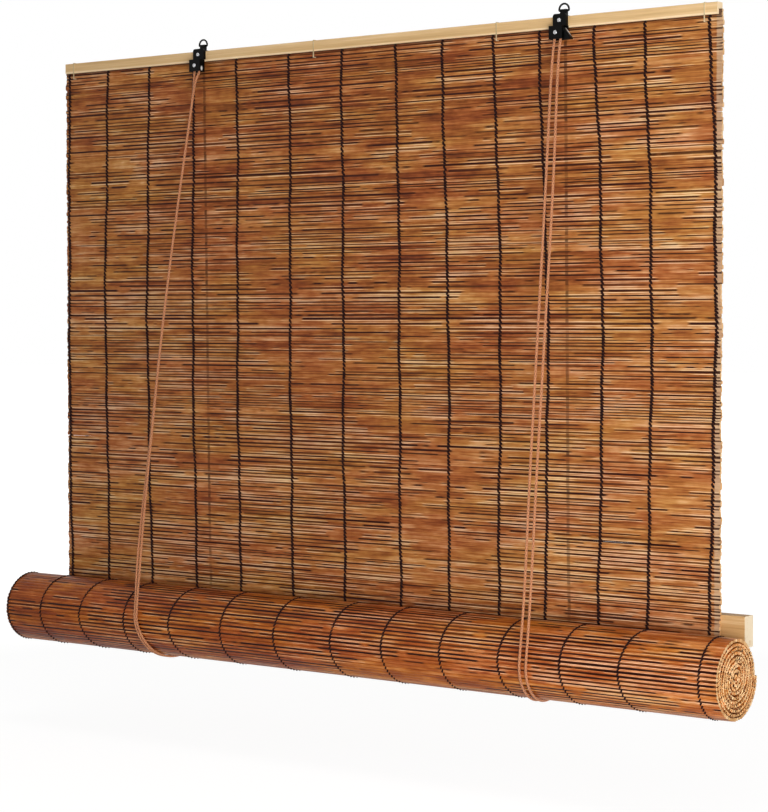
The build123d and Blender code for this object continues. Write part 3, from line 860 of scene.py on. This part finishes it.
def knot_line(x, z):
    """A closed trefoil, as an overhand knot drawn tight on the ledge."""
    turns = np.linspace(0, tau, knot_cuts)
    return np.stack((x + knot_size * (np.sin(turns) + 2 * np.sin(2 * turns)),
                     back_y + knot_size * (np.cos(turns) - 2 * np.cos(2 * turns)),
                     z - knot_height_share * knot_size * np.sin(3 * turns)), axis=1)


for side, bracket_x in bracket_places:
    bend_points = [(bracket_x + share * half_spacing, pulley_y, z) for share, z in
                   ((-1, strand_top), (-1, bend_z), (-1, pulley_z + half_spacing),
                    (1, pulley_z + half_spacing), (1, bend_z), (1, strand_top))]
    bend = wind_tubes(side + "_cord_over_pulley", [smooth_line(bend_points)], cord_diameter / 2,
                      cord_sides, (0, 1, 0), [braid])
    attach(bend, "head")
    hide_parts(side + "_cord_bend")
    for letter, hand in (("a", -1), ("b", 1)):
        front = []
        for x, half_x, half_y, z in front_run[side]:
            share = (strand_top - z) / (strand_top - foot_z)
            bow = float(np.interp(share, bow_shares, bow_sizes))
            front.append((x + hand * half_x + bow_slant * bow,
                          pulley_y + (foot_y - pulley_y) * share - hand * half_y - bow, z))
        strand = make_strand(side + "_front_strand_" + letter, front, "head", side + "_front_cords",
                             (1, 0, 0))
        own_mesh(strand)
        back_x = bracket_x + hand * half_spacing
        front_x = front[-1][0]
        wrap = [(front_x + (back_x - front_x) * share, y, z) for share, y, z in wrap_route]
        make_strand(side + "_wrap_strand_" + letter, wrap, "cord_bights", side + "_cord_wraps",
                    (1, 0, 0))
        knot = wind_tubes(side + "_knot_" + letter, [knot_line(back_x, ledge_z + knot_rise)], knot_radius,
                          cord_sides, (0, 0, 1), [braid])
        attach(knot, "head")
        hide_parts("cord_knots")
        back = [(back_x, back_y, z) for z in (ledge_z, *back_bends, batten_top + batten_gap)]
        strand = make_strand(side + "_back_strand_" + letter, back, "head", side + "_back_cords",
                             (1, 0, 0))
        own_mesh(strand)

# Floor and sky. A plain white studio floor below the roll, which keeps a faint soft shadow.
# It goes over into the white of the room with distance, so that no edge shows between them.
floor_tone, white_tone = "F4F3F1", "FFFFFF"
glow_strength = 1.27
ambient = 0.27
floor_drop = 0.11
floor_size = 40.0
floor_white_share = 0.7
fade_start, fade_length = 1.1, 1.6


def seen_directly(tree):
    """1 for rays from the camera and for what shines or shows through."""
    path = tree.nodes.new("ShaderNodeLightPath")
    total = None
    for kind in ("Is Camera Ray", "Is Glossy Ray", "Is Transmission Ray"):
        if total is None:
            total = path.outputs[kind]
        else:
            most = tree.nodes.new("ShaderNodeMath")
            most.operation = "MAXIMUM"
            tree.links.new(total, most.inputs[0])
            tree.links.new(path.outputs[kind], most.inputs[1])
            total = most.outputs[0]
    return total


bpy.ops.object.select_all(action="DESELECT")
bpy.ops.mesh.primitive_plane_add(size=floor_size, location=(0, 0, cad_low.z - floor_drop))
floor = bpy.context.object
floor.name = "floor"
paint = bpy.data.materials.new("studio_white")
paint.use_nodes = True
paint.node_tree.nodes.clear()
matt = put(paint, "ShaderNodeBsdfDiffuse", {"Color": colour(floor_tone)})
glow = put(paint, "ShaderNodeEmission", {"Color": colour(white_tone), "Strength": glow_strength})
floor_place = object_place(paint)
distance = put(paint, "ShaderNodeVectorMath", {0: floor_place}, operation="LENGTH").outputs["Value"]
far = limited(paint, distance, 1 / fade_length, -fade_start / fade_length)
white = weigh(paint, ((far, 1 - floor_white_share),), floor_white_share)
share = calc(paint, "MULTIPLY", seen_directly(paint.node_tree), white)
both = put(paint, "ShaderNodeMixShader", {0: share, 1: matt.outputs[0], 2: glow.outputs[0]})
put(paint, "ShaderNodeOutputMaterial", {"Surface": both.outputs[0]})
floor.data.materials.append(paint)

world = bpy.data.worlds.new("white_room")
bpy.context.scene.world = world
world.use_nodes = True
sky = world.node_tree.nodes["Background"]
sky.inputs["Color"].default_value = colour(white_tone)
seen = seen_directly(world.node_tree)
strength = put(world, "ShaderNodeMapRange", {"Value": seen, "To Min": ambient, "To Max": 1.0})
join(world, strength.outputs[0], sky.inputs["Strength"])

# Lights. One large soft lamp stands low on the right in front of the mat, and a weak one hangs above.
# Each row is a name, place, size, power and target.
lamps = (("key", (1.7, -1.35, -0.85), 1.1, 64.0, (0.1, 0, -0.5)),
         ("top", (0.3, -0.6, 1.5), 0.9, 6.0, (0.1, -0.05, -0.7)))
for name, place, size, power, target in lamps:
    lamp = bpy.data.lights.new(name, "AREA")
    lamp.size = size
    lamp.energy = power
    holder = bpy.data.objects.new(name, lamp)
    holder.location = place
    holder.rotation_euler = (Vector(target) - Vector(place)).to_track_quat("-Z", "Y").to_euler()
    bpy.context.scene.collection.objects.link(holder)

# Camera. It stands in front of the mat on the right, at about half its height.
# It looks a little down and to the left, with the focal length fitted to the mat and the roll's end.
image_height = 812
focal_pixels = 2341.1
sensor_size = 36.0
view_limit = 60.0
camera_place = (1.7816, -2.2310, -0.3477)
camera_down, camera_left = 2.02, 38.0
camera = bpy.data.cameras.new("camera")
camera.sensor_width = sensor_size
camera.lens = focal_pixels / image_height * camera.sensor_width
camera.clip_end = view_limit
stand = bpy.data.objects.new("camera", camera)
stand.location = camera_place
stand.rotation_euler = (radians(90 - camera_down), 0, radians(camera_left))
bpy.context.scene.collection.objects.link(stand)
bpy.context.scene.camera = stand
bpy.context.scene.view_settings.view_transform = "Standard"
